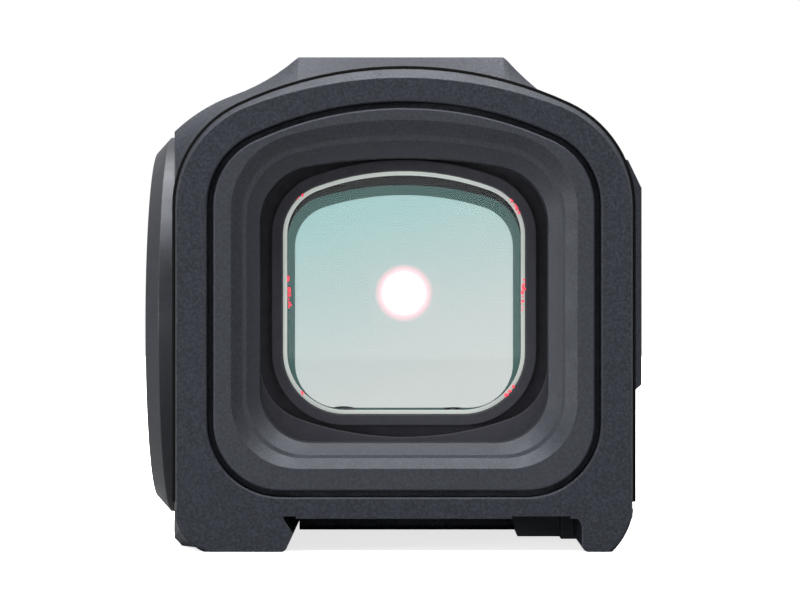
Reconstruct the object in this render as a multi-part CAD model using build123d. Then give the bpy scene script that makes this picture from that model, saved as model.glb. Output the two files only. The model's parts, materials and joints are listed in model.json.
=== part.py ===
from build123d import *
import os

# Enclosed red dot finder with a dovetail rail clamp, in millimetres.
# X is to the right seen from the eye, Y is forward, Z is up.
# The origin is the middle of the seat that rests on the rail.
# Names ending in _Z or _X or _Y are places; heights named *_UP are above the optical axis.

# Housing
REAR = -23.5
FRONT = 23.5
AXIS_Z = 14.2
HOOD_HALF = 14.45
HOOD_TOP_UP = 14.15
HOOD_CORNER = 7.0
HOOD_SHOULDER_UP = 5.5
RIM_TAPER = 0.85
RIM_TAPER_TOP = 0.6
RIM_TAPER_SIDE = 0.12
RIM_GROOVE_DEPTH = 0.3
RIM_GROOVE_WIDTH = 0.4
MIDDLE_REAR = -18.4
MIDDLE_FRONT = 15.5
SLOPE_REAR = -22.15
BOSS_X = -14.8
SHOULDER_Z = 24.6
PLATEAU_Z = 29.4
PANEL_X = 15.4
PANEL_REAR = -18.3
PANEL_FRONT = 15.0

# Rail interface
FOOT_Z = -2.1
SEAT_HALF = 6.8
SEAT_RELIEF = 0.15
NOSE_X = 7.0
NOSE_ROOT_X = 7.6
NOSE_Z = -0.95
RIGHT_FOOT_INNER_X = 11.2
JAW_HALF_LENGTH = 12.7
JAW_NOSE_HALF_LENGTH = 10.5
JAW_STEP_X = 10.4
JAW_OUTER_X = 14.75
JAW_INNER_X = 12.35
JAW_TOP_Z = 3.2
JAW_CLEARANCE = 0.2
LUG_REAR = -4.7
LUG_FRONT = -1.1
LUG_Y = (LUG_REAR + LUG_FRONT) / 2
CLAMP_RADIUS = 1.2
CLAMP_HEAD_RADIUS = 1.95
GUIDE_PIN_Y = 9.0
GUIDE_PIN_Z = 1.5
GUIDE_PIN_RADIUS = 0.7

# Windows and the bores behind them
BEZEL_HALF = 12.0
BEZEL_DEPTH = 3.9
FRONT_BEZEL_DEPTH = 3.0
BEZEL_GROOVE = 0.4
BEZEL_GROOVE_DEPTH = 1.6
EDGE_BREAK = 0.09
BAND_PROUD = 0.2
BORE_HALF = 11.4
BORE_FRONT = -12.4
TUNNEL_HALF = 8.8
CELL_HALF = 10.25
CELL_REAR = 14.0
CELL_FRONT = 20.2
REAR_GLASS_HALF = 7.8
COLLAR_WALL = 0.7
REAR_GLASS_REAR = -18.75
REAR_GLASS_FRONT = -17.55
LENS_FRAME_FRONT = -17.15
LENS_RADIUS = 62.0
LENS_FRONT_Y = 20.1
INNER_ELEMENT = 1.2
OUTER_ELEMENT = 1.4
CEMENT = 0.02
EMITTER_UP = -8.15

# Battery bay
CELL_Z = 12.0
COIN_RADIUS = 10.0
COIN_THICKNESS = 3.2
COIN_FACE_X = -15.5
CAP_FACE_X = -17.2
CAP_RIM_X = -16.25
CAP_RIM_RADIUS = 13.1
CAP_FACE_RADIUS = 12.05
SKIRT_RADIUS = 11.5
SKIRT_INNER_RADIUS = 10.4
SKIRT_END_X = -12.7
BAY_RADIUS = 10.45
BAY_FLOOR_X = -10.2
SEAL_RADIUS = 11.98
SEAL_SECTION = 0.4
SEAL_DEPTH = 0.45
SEAL_BORE_RADIUS = 12.45
SEAL_BORE_X = BOSS_X + 0.95

# Adjusters
ELEVATION_Y = -15.2
WINDAGE_Y = -13.85
ADJUSTER_HEAD_RADIUS = 2.8
ADJUSTER_HEAD_THICKNESS = 1.1
ADJUSTER_SHANK = 0.5
CLICK_OFFSET = 1.8
CLICK_RADIUS = 0.35
ELEVATION_HEAD_Z = 27.9
WINDAGE_HEAD_X = 13.8
ADJUSTER_TRAVEL = 0.4

# Keys
KEY_Z = 14.4
KEY_PLATE_Y = 2.0
KEY_PLATE_LONG = 22.4
KEY_PLATE_HIGH = 11.6
KEY_PLATE_CORNER = 2.2
KEY_BAY_LONG = 19.2
KEY_BAY_HIGH = 9.2
KEY_BAY_FLOOR_X = 11.2
KEY_PLATE_BACK_X = 14.4
KEY_SPACING = 9.2
KEY_RADIUS = 2.9
KEY_FACE_X = 15.85
KEY_SCREW_REACH = (9.9, 4.55)

# Board bay under the light path
BOARD_FLOOR_Z = 2.0
BOARD_BAY_HALF = 8.0
BOARD_BAY_REAR = -10.0
BOARD_BAY_FRONT = 12.0
BAFFLE_Z = 4.7
BAFFLE_TOP_Z = 5.35

# Running clearance of turned fits
RUN = 0.06


def block(x0, x1, y0, y1, z0, z1):
    """Box between two corners."""
    return Pos((x0 + x1) / 2, (y0 + y1) / 2, (z0 + z1) / 2) * Box(x1 - x0, y1 - y0, z1 - z0)


def rod_x(radius, start, end, y, z):
    """Cylinder along X."""
    return Pos((start + end) / 2, y, z) * Rot(0, 90, 0) * Cylinder(radius, end - start)


def rod_z(radius, bottom, top, x, y):
    """Cylinder along Z."""
    return Pos(x, y, (bottom + top) / 2) * Cylinder(radius, top - bottom)


def turned_x(points, y, z):
    """Solid turned about a line along X; points are (x, radius)."""
    profile = make_face(Polyline(*points, close=True))
    return Pos(0, y, z) * revolve(profile, Axis.X)


def turned_z(points, x, y):
    """Solid turned about a line along Z; points are (radius, z)."""
    profile = Plane.XZ * make_face(Polyline(*points, close=True))
    return Pos(x, y, 0) * revolve(profile, Axis.Z)


def prism(section, rear, front):
    """Section drawn in X and Z, running along Y."""
    return extrude(Plane.XZ.offset(-front) * section, front - rear)


def taper(rear_section, rear, front_section, front):
    """Straight transition between two sections of the same kind."""
    first = (Plane.XZ.offset(-rear) * rear_section).face()
    last = (Plane.XZ.offset(-front) * front_section).face()
    return loft([first, last], ruled=True)


def side_prism(section, left, right):
    """Section drawn in Y and Z, running along X."""
    return extrude(Plane.YZ.offset(left) * section, right - left)


def arched(half_width, top, shoulder, corner, bottom, foot_corner=0):
    """Section with straight sides, rounded corners and a shallow arched top.

    Heights are above the optical axis. The arch is tangent to both top corners.
    """
    reach = half_width - corner
    drop = shoulder - top
    arch = (corner**2 - reach**2 - drop**2) / (2 * (drop + corner))
    arch_centre = Vector(0, top - arch)
    corner_centre = Vector(reach, shoulder)
    toward = (corner_centre - arch_centre).normalized()
    meet = arch_centre + toward * arch
    middle = corner_centre + (toward + Vector(1, 0)).normalized() * corner
    with BuildSketch() as section:
        with BuildLine():
            Line((-half_width, bottom), (half_width, bottom))
            Line((half_width, bottom), (half_width, shoulder))
            ThreePointArc((half_width, shoulder), middle, meet)
            ThreePointArc(meet, (0, top), (-meet.X, meet.Y))
            ThreePointArc((-meet.X, meet.Y), (-middle.X, middle.Y), (-half_width, shoulder))
            Line((-half_width, shoulder), (-half_width, bottom))
        make_face()
        if foot_corner:
            fillet(section.vertices().sort_by(Axis.Y)[:2], foot_corner)
    return Pos(0, AXIS_Z) * section.sketch


def hood_section(inset=0.0, lower=0.0):
    """Outer section of the hoods."""
    corner = HOOD_CORNER - inset
    return arched(HOOD_HALF - inset, HOOD_TOP_UP - inset, HOOD_SHOULDER_UP, corner, -AXIS_Z - lower)


def rim_section():
    """Outer section of a hood at its very edge, where the bevel has taken most off the top."""
    top = HOOD_TOP_UP - RIM_TAPER_TOP
    shoulder = HOOD_SHOULDER_UP - 0.3
    return arched(HOOD_HALF - RIM_TAPER_SIDE, top, shoulder, HOOD_CORNER, -AXIS_Z)


def bezel_section(grow=0.0):
    """Outer section of a bezel."""
    half = BEZEL_HALF + grow
    return arched(half, 11.65 + grow, 5.5, 4.5 + grow, -12.45 - grow, 4.3 + grow)


def bore_section(half_width):
    """Section of the bores behind the bezels, nearly square."""
    return arched(half_width, half_width, half_width - 4.2, 3.6, -half_width - 0.05, 1.2)


def tunnel_section(shrink=0.0):
    """Section of the light path."""
    half = TUNNEL_HALF - shrink
    return arched(half, half, half - 4.4, 3.8, -half, 2.5)


def rear_window_section(grow=0.0):
    """Outline of the rear window."""
    half = REAR_GLASS_HALF + grow
    return arched(half, 7.85 + grow, 3.75, 3.3 + grow, -7.8 - grow, 4.0 + grow)


def front_window_section(grow=0.0):
    """Outline of the front opening."""
    return arched(8.4 + grow, 7.6 + grow, 3.6, 3.2 + grow, -8.8 - grow, 3.4 + grow)


def hood_body():
    """Full length body with bevelled rims and a fine groove behind each rim."""
    body = prism(hood_section(), REAR + RIM_TAPER, FRONT - RIM_TAPER)
    body += taper(rim_section(), REAR, hood_section(), REAR + RIM_TAPER)
    body += taper(hood_section(), FRONT - RIM_TAPER, rim_section(), FRONT)
    ring = hood_section(-1.0, lower=2.0) - hood_section(RIM_GROOVE_DEPTH, lower=2.0)
    for start in rim_grooves():
        body -= prism(ring, start, start + RIM_GROOVE_WIDTH)
    return body


def rim_grooves():
    """Where the groove behind each rim starts, along Y."""
    back = RIM_TAPER + 0.05
    return (REAR + back, FRONT - back - RIM_GROOVE_WIDTH)


def middle_section():
    """Section of the middle: battery boss on the left, hollow flanks up to the plateau."""
    with BuildSketch() as section:
        with BuildLine():
            Line((-12.0, FOOT_Z), (BOSS_X + 0.5, FOOT_Z))
            Line((BOSS_X + 0.5, FOOT_Z), (BOSS_X, FOOT_Z + 0.5))
            Line((BOSS_X, FOOT_Z + 0.5), (BOSS_X, SHOULDER_Z))
            ThreePointArc((BOSS_X, SHOULDER_Z), (-13.1, 25.93), (-11.0, 26.95))
            ThreePointArc((-11.0, 26.95), (-8.8, 27.97), (-7.0, 29.25))
            Line((-7.0, 29.25), (-6.8, PLATEAU_Z))
            Line((-6.8, PLATEAU_Z), (6.4, PLATEAU_Z))
            Line((6.4, PLATEAU_Z), (6.65, 29.2))
            ThreePointArc((6.65, 29.2), (7.87, 27.97), (9.9, 26.4))
            Line((9.9, 26.4), (9.9, 20.0))
            Line((9.9, 20.0), (-12.0, FOOT_Z))
        make_face()
    return section.sketch


def slope_section():
    """Where the slope from the rear rim to the middle starts, just under the hood's skin."""
    with BuildSketch() as section:
        with BuildLine():
            Line((-12.0, -1.9), (-13.2, -1.9))
            Line((-13.2, -1.9), (-14.2, -0.6))
            Line((-14.2, -0.6), (-14.35, 19.6))
            ThreePointArc((-14.35, 19.6), (-13.15, 23.55), (-11.0, 25.6))
            ThreePointArc((-11.0, 25.6), (-9.0, 26.52), (-7.0, 27.18))
            Line((-7.0, 27.18), (-6.8, 27.24))
            ThreePointArc((-6.8, 27.24), (0, 28.22), (6.4, 27.35))
            Line((6.4, 27.35), (6.65, 27.28))
            ThreePointArc((6.65, 27.28), (8.0, 26.82), (9.9, 26.1))
            Line((9.9, 26.1), (9.9, 20.0))
            Line((9.9, 20.0), (-12.0, -1.9))
        make_face()
    return section.sketch


def middle_body():
    """Wider middle with the plateau on top, sloping back to the rear rim."""
    section = middle_section()
    body = prism(section, MIDDLE_REAR, MIDDLE_FRONT)
    boss_edges = body.edges().filter_by(GeomType.LINE).filter_by(Axis.Z).sort_by(Axis.X)[:2]
    body = chamfer(boss_edges.sort_by(Axis.Y)[-1:], 0.35)
    body += taper(slope_section(), SLOPE_REAR, section, MIDDLE_REAR)
    front_slope = make_face(Polyline((7.0, PLATEAU_Z), (16.0, 27.4), (16.0, 31.0), (7.0, 31.0), close=True))
    return body - side_prism(front_slope, -16.0, 12.0)


def control_panel():
    """Raised panel on the right side, bevelled along its top and bottom and at its ends."""
    outline = Polyline(
        (13.0, 22.8), (14.45, 22.8), (PANEL_X, 21.0), (PANEL_X, 8.25), (14.45, 7.55), (13.0, 7.55), close=True
    )
    body = prism(make_face(outline), PANEL_REAR, PANEL_FRONT)
    ends = body.edges().filter_by(Axis.Z).sort_by(Axis.X)[-2:]
    return chamfer(ends, 0.9)


def left_foot():
    """Fixed side of the rail clamp, with its V-shaped nose."""
    with BuildSketch() as section:
        with BuildLine():
            ThreePointArc((-HOOD_HALF, 0.6), (-13.8, -1.2), (-12.6, FOOT_Z))
            Line((-12.6, FOOT_Z), (-7.75, FOOT_Z))
            ThreePointArc((-7.75, FOOT_Z), (-7.55, FOOT_Z + 0.06), (-7.38, FOOT_Z + 0.25))
            Line((-7.38, FOOT_Z + 0.25), (-NOSE_X, NOSE_Z))
            Line((-NOSE_X, NOSE_Z), (-NOSE_ROOT_X, 0))
            Line((-NOSE_ROOT_X, 0), (-NOSE_ROOT_X, 0.6))
            Line((-NOSE_ROOT_X, 0.6), (-HOOD_HALF, 0.6))
        make_face()
    return broken_ends(prism(section.sketch, REAR, FRONT), REAR, FRONT)


def broken_ends(foot, *ends):
    """Foot with the outer curve of each given end bevelled."""
    curves = foot.edges().filter_by(GeomType.CIRCLE)
    outer = [e for e in curves if abs(e.center().X) > 12 and any(abs(e.center().Y - y) < 0.01 for y in ends)]
    return chamfer(outer, 0.2)


def right_foot(rear, front):
    """Foot in line with the moving jaw, at one end of the housing."""
    inner = RIGHT_FOOT_INNER_X
    with BuildSketch() as section:
        with BuildLine():
            ThreePointArc((HOOD_HALF, 0.6), (14.0, -0.9), (13.1, FOOT_Z))
            Line((13.1, FOOT_Z), (inner + 0.45, FOOT_Z))
            ThreePointArc((inner + 0.45, FOOT_Z), (inner + 0.13, FOOT_Z + 0.13), (inner, FOOT_Z + 0.45))
            Line((inner, FOOT_Z + 0.45), (inner, -0.6))
            ThreePointArc((inner, -0.6), (inner - 0.2, -0.08), (inner - 0.7, SEAT_RELIEF))
            Line((inner - 0.7, SEAT_RELIEF), (inner - 0.7, 0.6))
            Line((inner - 0.7, 0.6), (HOOD_HALF, 0.6))
        make_face()
    return broken_ends(prism(section.sketch, rear, front), REAR, FRONT)


def underside_reliefs():
    """Shallow reliefs beside the seat, so that only the seat bears on the rail."""
    left = block(-NOSE_ROOT_X, -SEAT_HALF, REAR - 1, FRONT + 1, 0, SEAT_RELIEF)
    right = block(SEAT_HALF, RIGHT_FOOT_INNER_X - 0.7, REAR - 1, FRONT + 1, 0, SEAT_RELIEF)
    return left + right


def recoil_lug():
    """Bar across the seat that carries the clamp screw's thread."""
    lug = block(-7.2, JAW_INNER_X - JAW_CLEARANCE, LUG_REAR, LUG_FRONT, FOOT_Z, 1.0)
    lower = lug.edges().filter_by(Axis.X).sort_by(Axis.Z)[:2]
    return chamfer(lower, 0.3)


def window_bores():
    """Bezel seats, rear bore, light path and front bore."""
    rear_seat = REAR + BEZEL_DEPTH
    front_seat = FRONT - FRONT_BEZEL_DEPTH
    groove = bezel_section(BEZEL_GROOVE)
    groove_mouth = bezel_section(BEZEL_GROOVE + EDGE_BREAK)
    cut = prism(groove, REAR - 1, REAR + BEZEL_GROOVE_DEPTH)
    cut += taper(groove_mouth, REAR, groove, REAR + EDGE_BREAK)
    cut += prism(bezel_section(0.03), REAR - 1, rear_seat)
    cut += prism(bore_section(BORE_HALF), rear_seat - 0.1, BORE_FRONT)
    cut += prism(tunnel_section(), BORE_FRONT - 0.1, CELL_REAR + 0.1)
    cut += prism(bore_section(CELL_HALF + 0.05), CELL_REAR, front_seat + 0.1)
    cut += prism(bezel_section(0.03), front_seat, FRONT + 1)
    cut += prism(groove, FRONT - BEZEL_GROOVE_DEPTH, FRONT + 1)
    cut += taper(groove, FRONT - EDGE_BREAK, groove_mouth, FRONT)
    return cut


def battery_bay():
    """Stepped round bay for the cap's seal, its skirt and the cell."""
    mouth = BOSS_X - 1
    cut = rod_x(SEAL_BORE_RADIUS, mouth, SEAL_BORE_X, 0, CELL_Z)
    cut += rod_x(SKIRT_RADIUS + RUN, mouth, SKIRT_END_X + 0.2, 0, CELL_Z)
    cut += rod_x(BAY_RADIUS, mouth, BAY_FLOOR_X, 0, CELL_Z)
    cut += rod_x(0.75, BAY_FLOOR_X - 0.1, -BOARD_BAY_HALF + 0.5, 0, 4.0)
    return cut


def key_outline(long, high, corner):
    """Rounded rectangle of the key plate and its bay, in Y and Z."""
    return Pos(KEY_PLATE_Y, KEY_Z) * RectangleRounded(long, high, corner)


def key_bay():
    """Recess for the key plate, the keys and the button board, with a duct for its flex."""
    plate = key_outline(KEY_PLATE_LONG + 0.1, KEY_PLATE_HIGH + 0.1, KEY_PLATE_CORNER)
    cut = side_prism(plate, KEY_PLATE_BACK_X - 0.35, PANEL_X + 1)
    cut += side_prism(key_outline(KEY_BAY_LONG, KEY_BAY_HIGH, 1.2), KEY_BAY_FLOOR_X, PANEL_X)
    cut += block(9.8, KEY_BAY_FLOOR_X + 0.2, -0.5, 4.5, 3.3, 11.0)
    cut += block(BOARD_BAY_HALF - 0.5, 10.0, -0.5, 4.5, 3.3, 4.6)
    for y, z in key_screw_places():
        cut += rod_x(0.36, 12.6, KEY_PLATE_BACK_X, y, z)
    return cut


def key_screw_places():
    """Centres of the key plate's four screws, in Y and Z."""
    reach_y, reach_z = KEY_SCREW_REACH
    return [(KEY_PLATE_Y + sy * reach_y, KEY_Z + sz * reach_z) for sy in (-1, 1) for sz in (-1, 1)]


def adjuster_bores():
    """Bores for both adjuster screws and their click pins."""
    wide = ADJUSTER_HEAD_RADIUS + RUN
    cut = rod_z(wide, ELEVATION_HEAD_Z - 0.05, PLATEAU_Z + 1, 0, ELEVATION_Y)
    cut += rod_z(ADJUSTER_SHANK + 0.2, 24.5, ELEVATION_HEAD_Z, 0, ELEVATION_Y)
    cut += rod_z(CLICK_RADIUS + RUN, 26.1, ELEVATION_HEAD_Z, CLICK_OFFSET, ELEVATION_Y)
    cut += rod_x(wide, WINDAGE_HEAD_X - 0.05, PANEL_X + 1, WINDAGE_Y, AXIS_Z)
    cut += rod_x(ADJUSTER_SHANK + 0.2, 10.5, WINDAGE_HEAD_X, WINDAGE_Y, AXIS_Z)
    cut += rod_x(CLICK_RADIUS + RUN, 12.1, WINDAGE_HEAD_X, WINDAGE_Y, AXIS_Z + CLICK_OFFSET)
    return cut


def clamp_bores():
    """Slot for the moving jaw, the clamp screw's hole and the guide pins' holes."""
    half = JAW_HALF_LENGTH + JAW_CLEARANCE
    slot_x = JAW_INNER_X - JAW_CLEARANCE
    cut = block(slot_x, 16.0, -half, half, FOOT_Z - 1, JAW_TOP_Z + JAW_CLEARANCE)
    cut += rod_x(CLAMP_RADIUS + RUN, 1.8, slot_x + 1, LUG_Y, 0)
    for side in (-1, 1):
        cut += rod_x(GUIDE_PIN_RADIUS, 10.4, slot_x + 1, side * GUIDE_PIN_Y, GUIDE_PIN_Z)
    return cut


def board_bay():
    """Pocket under the light path for the circuit board, with a ledge for the baffle."""
    half = BOARD_BAY_HALF
    cut = block(-half, half, BOARD_BAY_REAR, BOARD_BAY_FRONT, BOARD_FLOOR_Z, AXIS_Z - 6)
    cut += block(-half - 0.4, half + 0.4, BOARD_BAY_REAR - 0.8, BOARD_BAY_FRONT + 0.8, BAFFLE_Z, AXIS_Z - 6)
    cut += block(-2.6, 2.6, BORE_FRONT - 0.5, BOARD_BAY_REAR + 0.5, 3.6, AXIS_Z - 6)
    for x, y in board_screw_places():
        cut += rod_z(0.5, 0.9, BOARD_FLOOR_Z + 0.1, x, y)
    return cut


def board_screw_places():
    """Centres of the circuit board's two screws."""
    return [(-6.3, -8.2), (6.3, 10.2)]


def purge_bore():
    """Threaded hole for the purge screw, with a flat counterbore."""
    return rod_z(1.0, 22.0, 29.0, 0, 11.5) + rod_z(1.75, 26.9, 31.0, 0, 11.5)


def housing():
    """Body machined from one block."""
    body = hood_body() + middle_body() + control_panel()
    body += left_foot()
    body += right_foot(REAR, -JAW_HALF_LENGTH - JAW_CLEARANCE)
    body += right_foot(JAW_HALF_LENGTH + JAW_CLEARANCE, FRONT)
    body -= underside_reliefs()
    body -= clamp_bores()
    body += recoil_lug()
    body -= rod_x(CLAMP_RADIUS + RUN, 1.8, 13.0, LUG_Y, 0)
    for cut in (window_bores(), battery_bay(), key_bay(), adjuster_bores(), board_bay(), purge_bore()):
        body -= cut
    return body


def rear_bezel():
    """Bezel whose opening narrows in a shallow stepped cove."""
    back = REAR + BEZEL_DEPTH - 0.05
    body = prism(bezel_section(), REAR + EDGE_BREAK, back)
    body += taper(bezel_section(-EDGE_BREAK), REAR, bezel_section(), REAR + EDGE_BREAK)
    mouth = arched(10.9, 10.9, 5.2, 4.9, -11.05, 4.2)
    upper = arched(10.2, 9.98, 4.88, 4.42, -10.43, 3.84)
    ledge = arched(9.94, 9.64, 4.76, 4.24, -10.2, 3.7)
    throat = arched(9.15, 8.6, 4.4, 3.7, -9.5, 3.3)
    cove = [(mouth, 0), (upper, 0.6), (ledge, 0.68), (throat, 1.45)]
    for (outer, start), (inner, end) in zip(cove, cove[1:]):
        body -= taper(outer, REAR + start, inner, REAR + end)
    body -= prism(throat, REAR + 1.45, back)
    return body


def rear_lens_frame():
    """Frame behind the bezel: dished recess, raised collar round the window, and a rear lip."""
    start = REAR + BEZEL_DEPTH
    floor = -18.2
    body = prism(bore_section(BORE_HALF - 0.03), start, LENS_FRAME_FRONT)
    dish = Pos(0, AXIS_Z) * Rot(0, 0, 180) * Pos(0, -AXIS_Z) * arched(9.2, 9.25, 4.67, 3.6, -9.6)
    body -= prism(dish, start - 1, floor)
    body += prism(rear_window_section(COLLAR_WALL), -19.1, floor)
    body -= prism(rear_window_section(0.04), start - 1, REAR_GLASS_FRONT + 0.2)
    body -= prism(rear_window_section(-0.25), start - 1, LENS_FRAME_FRONT + 1)
    return body


def rear_lens():
    """Rear window with a ground bevel round its outer face."""
    bevel = 0.28
    body = prism(rear_window_section(), REAR_GLASS_REAR + bevel, REAR_GLASS_FRONT)
    ground_face = rear_window_section(-bevel)
    return body + taper(ground_face, REAR_GLASS_REAR, rear_window_section(), REAR_GLASS_REAR + bevel)


def rear_lens_gasket():
    """Flat seal between the rear window and its frame."""
    ring = rear_window_section(0.02) - rear_window_section(-0.25)
    return prism(ring, REAR_GLASS_FRONT + 0.02, REAR_GLASS_FRONT + 0.18)


def front_bezel():
    """Front bezel with a flared opening."""
    back = FRONT - FRONT_BEZEL_DEPTH + 0.05
    body = prism(bezel_section(), back, FRONT - EDGE_BREAK)
    body += taper(bezel_section(), FRONT - EDGE_BREAK, bezel_section(-EDGE_BREAK), FRONT)
    mouth = arched(10.2, 9.8, 4.8, 4.4, -10.6, 3.9)
    body -= prism(front_window_section(), back - 1, FRONT - 2.4)
    body -= taper(front_window_section(), FRONT - 2.4, mouth, FRONT)
    return body


def lens_block():
    """Straight block that the front lens elements are cut from."""
    return prism(arched(9.2, 8.6, 4.6, 3.6, -9.3, 2.9), CELL_REAR, CELL_FRONT + 1)


def lens_shell(radius, thickness):
    """Spherical shell about the point that sends the emitter's light out level."""
    centre_y = LENS_FRONT_Y - LENS_RADIUS - INNER_ELEMENT - CEMENT - OUTER_ELEMENT
    centre = Pos(0, centre_y, AXIS_Z + EMITTER_UP)
    return centre * Sphere(radius + thickness) - centre * Sphere(radius)


def front_lens_inner():
    """Inner element of the front lens, which carries the mirror coating."""
    return lens_block() & lens_shell(LENS_RADIUS, INNER_ELEMENT)


def front_lens_outer():
    """Outer element of the front lens."""
    return lens_block() & lens_shell(LENS_RADIUS + INNER_ELEMENT + CEMENT, OUTER_ELEMENT)


def front_lens_cell():
    """Cell that holds the front lens against a rear lip."""
    body = prism(bore_section(CELL_HALF), CELL_REAR + 0.03, CELL_FRONT)
    body -= prism(arched(9.24, 8.64, 4.6, 3.62, -9.34, 2.92), CELL_REAR + 0.35, CELL_FRONT + 1)
    return body - prism(arched(8.7, 8.05, 3.9, 3.4, -8.9, 2.6), CELL_REAR - 1, CELL_REAR + 1)


def front_seal():
    """Flat seal between the front bezel and the lens cell."""
    ring = bore_section(CELL_HALF - 0.1) - arched(9.24, 8.64, 4.6, 3.62, -9.34, 2.92)
    return prism(ring, CELL_FRONT + 0.02, FRONT - FRONT_BEZEL_DEPTH)


def hood_bands():
    """Rubber bands in the grooves behind both rims, which a push-on cover seals on."""
    ring = hood_section(-BAND_PROUD) - hood_section(RIM_GROOVE_DEPTH - 0.02)
    ring &= Pos(0, 30.0) * Rectangle(60.0, 58.0)
    bands = [prism(ring, start + 0.02, start + RIM_GROOVE_WIDTH - 0.02) for start in rim_grooves()]
    return Compound(children=bands)


def battery_cap():
    """Screw cap with a dished face, a coin slot and a threaded skirt."""
    seat = BOSS_X - 0.05
    inside = COIN_FACE_X - 0.1
    dish_radius = 9.6
    profile = [
        (CAP_FACE_X + 0.25, 0),
        (CAP_FACE_X + 0.25, dish_radius),
        (CAP_FACE_X, dish_radius + 0.5),
        (CAP_FACE_X, CAP_FACE_RADIUS),
        (CAP_RIM_X, CAP_RIM_RADIUS),
        (seat, CAP_RIM_RADIUS),
        (seat, SKIRT_RADIUS - 0.3),
        (seat + 0.9, SKIRT_RADIUS - 0.3),
        (seat + 1.0, SKIRT_RADIUS),
    ]
    thread_pitch = 0.75
    x = seat + 1.0
    while x + thread_pitch < SKIRT_END_X:
        profile.append((x + 0.35, SKIRT_RADIUS))
        profile.append((x + 0.5, SKIRT_RADIUS - 0.15))
        profile.append((x + 0.6, SKIRT_RADIUS - 0.15))
        profile.append((x + thread_pitch, SKIRT_RADIUS))
        x += thread_pitch
    profile += [(SKIRT_END_X, SKIRT_RADIUS), (SKIRT_END_X, SKIRT_INNER_RADIUS)]
    profile += [(inside, SKIRT_INNER_RADIUS), (inside, 0)]
    body = turned_x(profile, 0, CELL_Z)
    slot = block(CAP_FACE_X - 1, CAP_FACE_X + 0.95, -0.9, 0.9, CELL_Z - 7.6, CELL_Z + 7.6)
    return body - slot


def cap_o_ring():
    """Seal of the battery cap."""
    return Pos(BOSS_X + SEAL_DEPTH, 0, CELL_Z) * Rot(0, 90, 0) * Torus(SEAL_RADIUS, SEAL_SECTION)


def coin_cell():
    """Coin cell with its stepped negative side towards the housing."""
    back = COIN_FACE_X + COIN_THICKNESS
    profile = [(COIN_FACE_X, 0), (COIN_FACE_X, 9.8), (COIN_FACE_X + 0.2, COIN_RADIUS)]
    profile += [(back - 0.5, COIN_RADIUS), (back - 0.3, 9.7), (back - 0.3, 8.8), (back, 8.6), (back, 0)]
    return turned_x(profile, 0, CELL_Z)


def battery_tray():
    """Plastic tray at the bottom of the battery bay."""
    floor = BAY_FLOOR_X - 0.75
    outer = BAY_RADIUS - 0.05
    body = rod_x(outer, -12.25, BAY_FLOOR_X - 0.02, 0, CELL_Z) - rod_x(9.5, -13.0, floor, 0, CELL_Z)
    body -= rod_x(3.2, floor - 1, BAY_FLOOR_X + 1, 0, CELL_Z)
    return body - block(-13, -9, -1.2, 1.2, 0.0, 5.6)


def battery_contact_spring():
    """Negative contact: a disc with a raised tongue."""
    low = BAY_FLOOR_X - 0.75
    base = rod_x(2.9, low - 0.2, low, 0, CELL_Z) + block(low - 0.2, low, -1.0, 1.0, 3.1, CELL_Z)
    tongue = Polyline((low - 0.2, 11.0), (-12.2, 13.4), (-12.0, 13.4), (low, 11.0), close=True)
    return base + prism(make_face(tongue), -1.0, 1.0)


def feed_pin():
    """Pin that carries the battery contact's current through the wall to the board."""
    return rod_x(0.35, -10.95, -6.4, 0, 4.0)


def feed_bush():
    """Insulating bush round the feed pin."""
    return rod_x(0.73, BAY_FLOOR_X - 0.02, -8.05, 0, 4.0) - rod_x(0.36, -12.0, -7.0, 0, 4.0)


def board_insulator():
    """Insulating sheet under the circuit board."""
    body = block(-7.8, 7.8, -9.8, 11.8, BOARD_FLOOR_Z + 0.02, BOARD_FLOOR_Z + 0.3)
    for x, y in board_screw_places():
        body -= rod_z(0.6, 0.0, 5.0, x, y)
    return body


def main_board():
    """Circuit board."""
    body = block(-7.6, 7.6, -9.6, 11.6, 2.35, 3.15)
    for x, y in board_screw_places():
        body -= rod_z(0.55, 0.0, 5.0, x, y)
    return body


def board_parts():
    """Processor, driver, connectors and small parts on the circuit board."""
    top = 3.17
    parts = [block(-2.2, 2.2, 2.0, 6.4, top, top + 0.9)]
    parts.append(block(-1.7, 1.7, -9.0, -7.4, top, top + 1.15))
    parts.append(block(5.4, 7.2, 0.0, 4.0, top, top + 0.35))
    parts.append(block(2.6, 4.6, -4.6, -2.6, top, top + 0.8))
    for row in range(5):
        y = -5.2 + 1.6 * row
        parts.append(block(-5.4, -4.0, y, y + 0.7, top, top + 0.55))
    return Compound(children=parts)


def board_screws():
    """Screws of the circuit board."""
    return Compound(children=[pan_screw_z(0.48, 1.0, 0.95, 3.17, x, y) for x, y in board_screw_places()])


def pan_screw_z(shank, head, bottom, seat, x, y):
    """Small slotted screw standing on Z."""
    body = rod_z(shank, bottom, seat, x, y) + rod_z(head, seat, seat + 0.55, x, y)
    return body - block(x - head, x + head, y - 0.12, y + 0.12, seat + 0.3, seat + 1.0)


def light_baffle():
    """Ribbed floor of the light path."""
    body = block(-8.3, 8.3, BOARD_BAY_REAR - 0.7, BOARD_BAY_FRONT + 0.7, BAFFLE_Z + 0.02, BAFFLE_TOP_Z - 0.25)
    rib_pitch = 1.2
    for rib in range(18):
        y = BOARD_BAY_REAR + 0.4 + rib * rib_pitch
        body += block(-7.9, 7.9, y, y + 0.35, BAFFLE_TOP_Z - 0.3, BAFFLE_TOP_Z)
    return body


def frame_section(half_width):
    """Outer section of the elevation frame."""
    return arched(half_width, half_width - 0.1, half_width - 4.1, 3.3, -half_width - 0.2, 2.2)


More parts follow.
